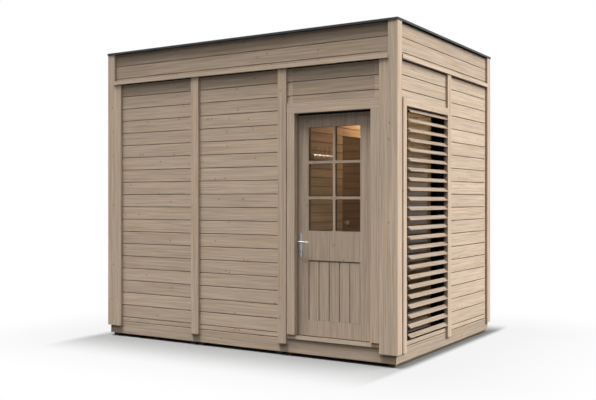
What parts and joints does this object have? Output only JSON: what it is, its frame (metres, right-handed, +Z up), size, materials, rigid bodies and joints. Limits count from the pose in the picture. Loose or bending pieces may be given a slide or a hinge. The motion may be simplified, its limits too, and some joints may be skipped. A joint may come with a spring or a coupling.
{
  "type": "outdoor sauna cabin",
  "caption": "Timber-clad sauna cabin with flat roof, glazed entrance door, louvred side window and a partitioned vestibule.",
  "frame": {"origin": "centre of the footprint, on the ground", "axes": "+X along the door front towards the louvred side, -Y out of the door front, +Z up"},
  "size_m": [2.816, 1.97, 2.4787],
  "materials": {
    "stained_spruce": "greige stained spruce, fine grain",
    "natural_spruce": "untreated spruce",
    "impregnated_bearers": "pressure-treated timber",
    "roof_felt": "mineral felt",
    "black_metal": "satin black",
    "satin_steel": "satin",
    "clear_glass": "clear",
    "bronze_glass": "bronze tint"
  },
  "bodies": {
    "cabin": {"back_batten_left": "stained_spruce", "back_batten_right": "stained_spruce", "back_wall": "stained_spruce", "bearer_1": "impregnated_bearers", "bearer_2": "impregnated_bearers", "bearer_3": "impregnated_bearers", "bearer_4": "impregnated_bearers", "bearer_5": "impregnated_bearers", "bearer_6": "impregnated_bearers", "coat_rail": "satin_steel", "corner_board_back_left": "stained_spruce", "corner_board_back_right": "stained_spruce", "corner_board_front_left": "stained_spruce", "corner_board_front_right": "stained_spruce", "door_casing": "stained_spruce", "door_frame": "stained_spruce", "door_hinge_bottom": "satin_steel", "door_hinge_top": "satin_steel", "fascia_back": "stained_spruce", "fascia_front": "stained_spruce", "fascia_left": "stained_spruce", "fascia_right": "stained_spruce", "floor": "natural_spruce", "front_batten_left": "stained_spruce", "front_batten_right": "stained_spruce", "front_stile_left": "stained_spruce", "front_stile_right": "stained_spruce", "front_wall_beside_door_left": "stained_spruce", "front_wall_beside_door_right": "stained_spruce", "front_wall_left": "stained_spruce", "front_wall_middle": "stained_spruce", "front_wall_over_door": "stained_spruce", "left_batten": "stained_spruce", "left_wall": "stained_spruce", "louvre_screen": "stained_spruce", "partition_front": "natural_spruce", "partition_over_door": "natural_spruce", "partition_rear": "natural_spruce", "plinth_back": "stained_spruce", "plinth_front": "stained_spruce", "plinth_left": "stained_spruce", "plinth_right": "stained_spruce", "right_batten": "stained_spruce", "right_wall_front": "stained_spruce", "right_wall_rear": "stained_spruce", "roof_deck": "roof_felt", "roof_edging": "black_metal", "sauna_door_hinge_bottom": "satin_steel", "sauna_door_hinge_top": "satin_steel", "window_frame": "black_metal", "window_glass": "clear_glass", "window_head": "stained_spruce", "window_stile": "stained_spruce"},
    "door": {"door_leaf": "stained_spruce", "door_glass": "clear_glass", "handle_plate": "satin_steel", "handle_plate_inside": "satin_steel"},
    "lever": {"lever": "satin_steel"},
    "sauna_door": {"sauna_door_glass": "bronze_glass", "sauna_door_knob": "satin_steel"}
  },
  "joints": [
    {"name": "door_hinge", "type": "hinge", "parent": "cabin", "child": "door", "pos_m": [1.1747, -0.9453, 0.166], "axis": [0, 0, 1], "range_deg": [0, 90]},
    {"name": "lever_turn", "type": "hinge", "parent": "door", "child": "lever", "pos_m": [0.575, -0.939, 0.875], "axis": [0, 1, 0], "range_deg": [0, 40], "stiffness_Nm_per_rad": 0.5, "springref_deg": -20.05},
    {"name": "sauna_door_hinge", "type": "hinge", "parent": "cabin", "child": "sauna_door", "pos_m": [0.43155, 0.6057, 0.1426], "axis": [0, 0, 1], "range_deg": [0, 90]}
  ]
}
